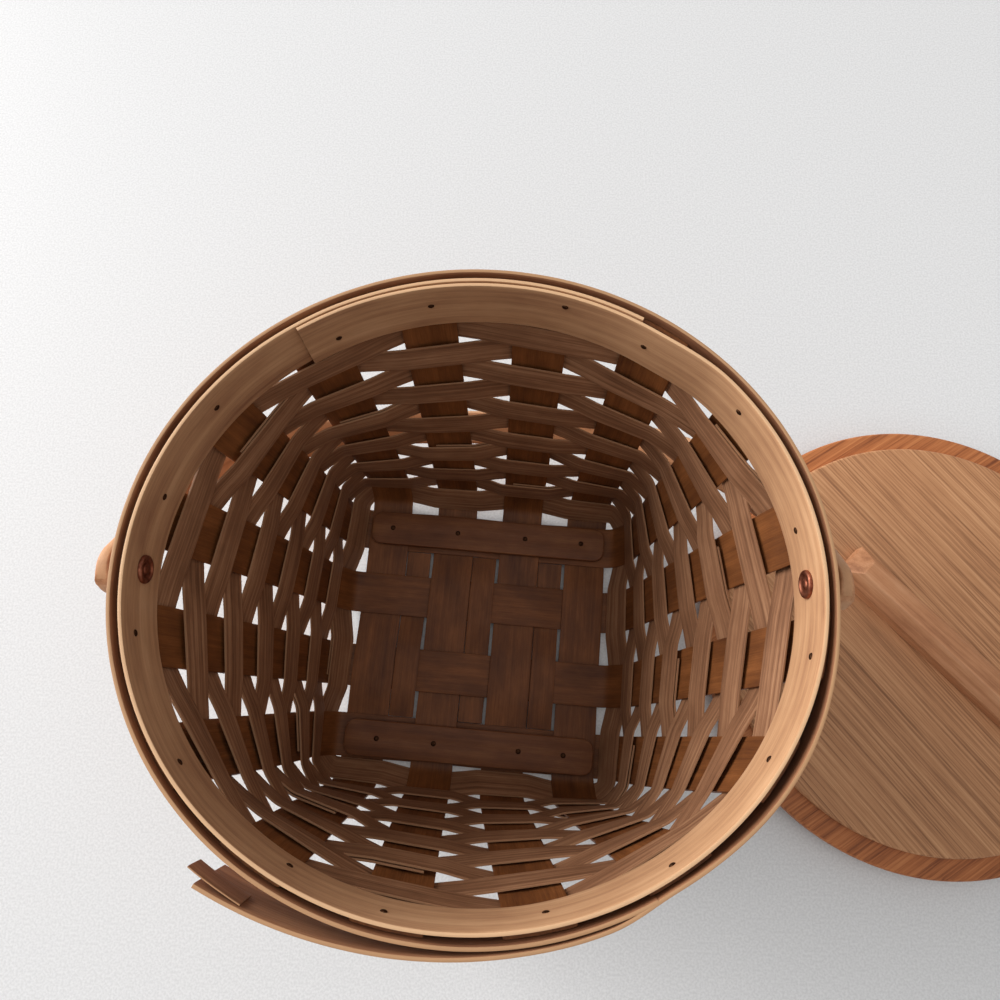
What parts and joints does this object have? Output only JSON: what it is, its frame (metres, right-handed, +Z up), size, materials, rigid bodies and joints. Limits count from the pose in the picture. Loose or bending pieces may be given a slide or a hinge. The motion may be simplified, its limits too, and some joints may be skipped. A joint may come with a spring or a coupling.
{
  "type": "pie basket",
  "caption": "Deep woven splint basket with a square base, a round banded rim, a wooden swing handle riveted to the rim, and a round wooden lid with a bar handle lying beside it.",
  "frame": {"origin": "on the table, under the middle of the basket and its lid together", "axes": "+Z up; +X from the basket to the lid, and along the axis that the handle swings on; +Y to the back, where the handle leans"},
  "size_m": [0.6234, 0.306, 0.235],
  "materials": {
    "stake_column_1": "stained wood splint, satin",
    "stake_column_2": "stained wood splint, satin",
    "stake_column_3": "stained wood splint, satin",
    "stake_column_4": "stained wood splint, satin",
    "stake_row_1": "stained wood splint, satin",
    "stake_row_2": "stained wood splint, satin",
    "stake_row_3": "stained wood splint, satin",
    "stake_row_4": "stained wood splint, satin",
    "filler_1": "stained wood splint, satin",
    "filler_2": "stained wood splint, satin",
    "filler_3": "stained wood splint, satin",
    "weaver_01": "stained wood splint, satin",
    "weaver_02": "stained wood splint, satin",
    "weaver_03": "stained wood splint, satin",
    "weaver_04": "stained wood splint, satin",
    "weaver_05": "stained wood splint, satin",
    "weaver_06": "stained wood splint, satin",
    "weaver_07": "stained wood splint, satin",
    "weaver_08": "stained wood splint, satin",
    "weaver_09": "stained wood splint, satin",
    "weaver_10": "stained wood splint, satin",
    "weaver_11": "stained wood splint, satin",
    "weaver_12": "stained wood splint, satin",
    "rim_inner_band": "stained bent wood band, satin",
    "rim_outer_band": "stained bent wood band, satin",
    "base_slat_back": "stained wood splint, satin",
    "base_slat_front": "stained wood splint, satin",
    "base_runner_back": "stained wood splint, satin",
    "base_runner_front": "stained wood splint, satin",
    "rivet_right": "aged copper, dull",
    "burr_right": "aged copper, dull",
    "spacer_right": "aged copper, dull",
    "rivet_left": "aged copper, dull",
    "burr_left": "aged copper, dull",
    "spacer_left": "aged copper, dull",
    "swing_handle": "stained bent wood strap, satin",
    "lid_plug": "stained wood board, satin",
    "lid_board": "stained wood board, satin",
    "lid_panel": "stained wood board, satin",
    "lid_bar_handle": "stained wood board, satin",
    "lid_screw_1": "plain steel screw",
    "lid_screw_2": "plain steel screw"
  },
  "bodies": {
    "basket": {"stake_column_1": "stake_column_1", "stake_column_2": "stake_column_2", "stake_column_3": "stake_column_3", "stake_column_4": "stake_column_4", "stake_row_1": "stake_row_1", "stake_row_2": "stake_row_2", "stake_row_3": "stake_row_3", "stake_row_4": "stake_row_4", "filler_1": "filler_1", "filler_2": "filler_2", "filler_3": "filler_3", "weaver_01": "weaver_01", "weaver_02": "weaver_02", "weaver_03": "weaver_03", "weaver_04": "weaver_04", "weaver_05": "weaver_05", "weaver_06": "weaver_06", "weaver_07": "weaver_07", "weaver_08": "weaver_08", "weaver_09": "weaver_09", "weaver_10": "weaver_10", "weaver_11": "weaver_11", "weaver_12": "weaver_12", "rim_inner_band": "rim_inner_band", "rim_outer_band": "rim_outer_band", "base_slat_back": "base_slat_back", "base_slat_front": "base_slat_front", "base_runner_back": "base_runner_back", "base_runner_front": "base_runner_front", "rivet_right": "rivet_right", "burr_right": "burr_right", "spacer_right": "spacer_right", "rivet_left": "rivet_left", "burr_left": "burr_left", "spacer_left": "spacer_left"},
    "handle": {"swing_handle": "swing_handle"},
    "lid": {"lid_plug": "lid_plug", "lid_board": "lid_board", "lid_panel": "lid_panel", "lid_bar_handle": "lid_bar_handle", "lid_screw_1": "lid_screw_1", "lid_screw_2": "lid_screw_2"}
  },
  "joints": [
    {"name": "handle_swing", "type": "hinge", "parent": "basket", "child": "handle", "pos_m": [-0.1473, 0.00458, 0.21755], "axis": [1, 0, 0], "range_deg": [0, 272]},
    {"name": "lid_lift", "type": "slide", "parent": "basket", "child": "lid", "axis": [0.5, 0, 0.866], "range_m": [0, 0.25]}
  ]
}
